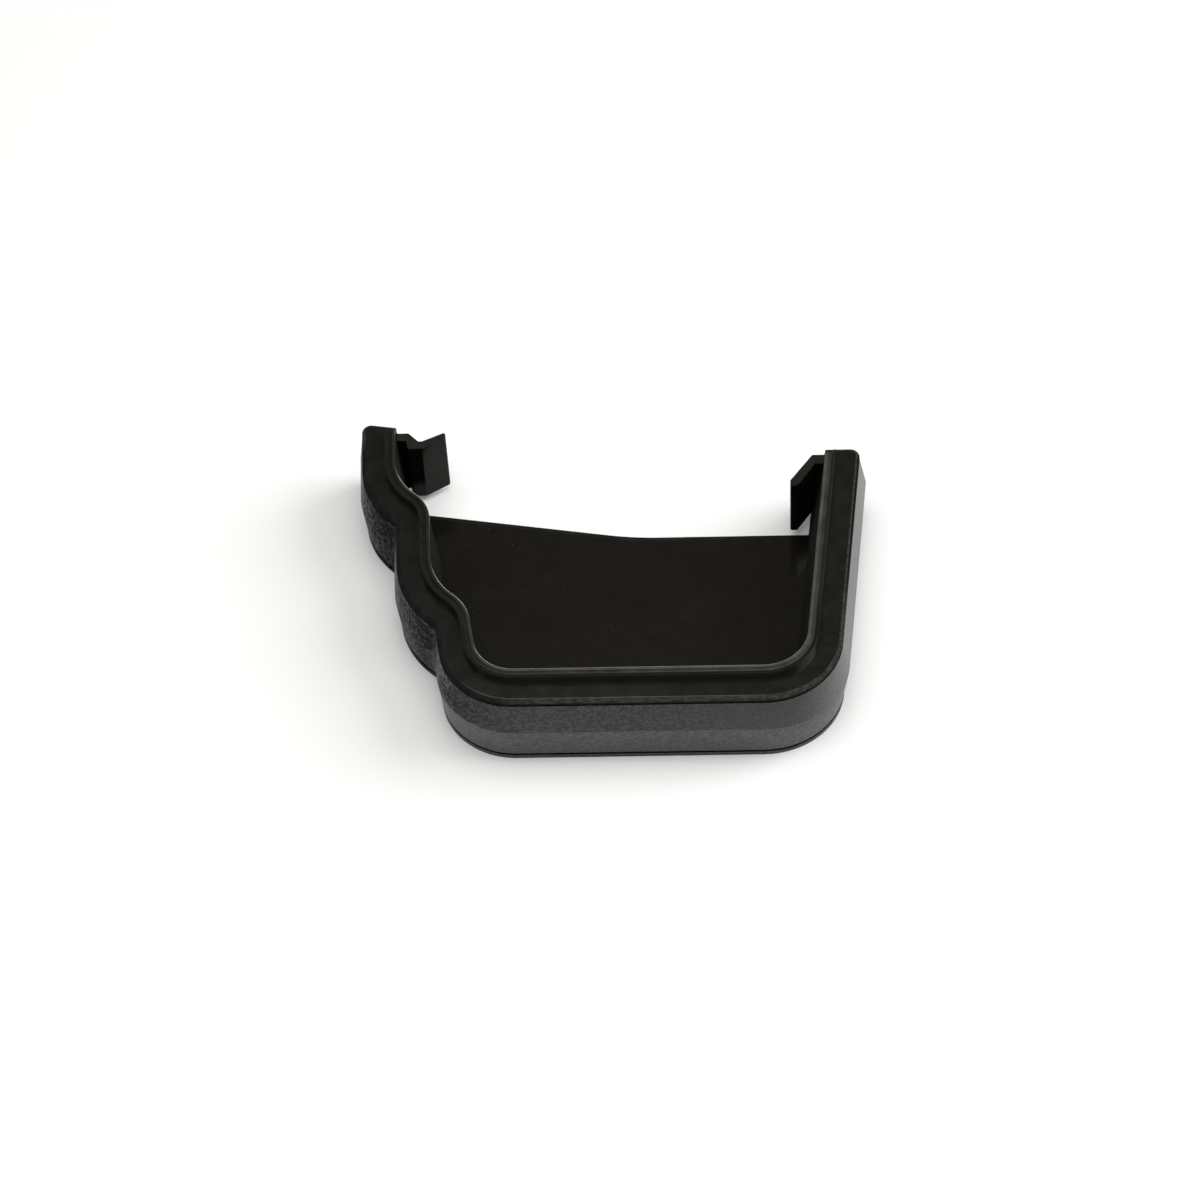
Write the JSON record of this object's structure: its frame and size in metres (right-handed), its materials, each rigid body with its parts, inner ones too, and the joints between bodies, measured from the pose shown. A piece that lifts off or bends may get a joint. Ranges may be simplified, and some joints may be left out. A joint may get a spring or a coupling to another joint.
{
  "type": "gutter end cap",
  "caption": "External stop end for an ogee gutter: a moulded end plate with a thick collar, a smooth flange, snap clips and a ribbed rubber seal along the rim.",
  "frame": {"origin": "middle of the part on the end plate's outer face, which it lies on", "axes": "+X from the ogee front to the back wall, +Y up in use, +Z along the gutter from the end plate to the open rim"},
  "size_m": [0.132, 0.0932, 0.0247],
  "materials": {
    "cap_plastic": "black, smooth inside and on the flange, cast-iron grain on the outside",
    "seal_rubber": "dusty dark grey"
  },
  "bodies": {
    "root": {"cap_body": "cap_plastic", "rim_seal": "seal_rubber"}
  },
  "joints": []
}
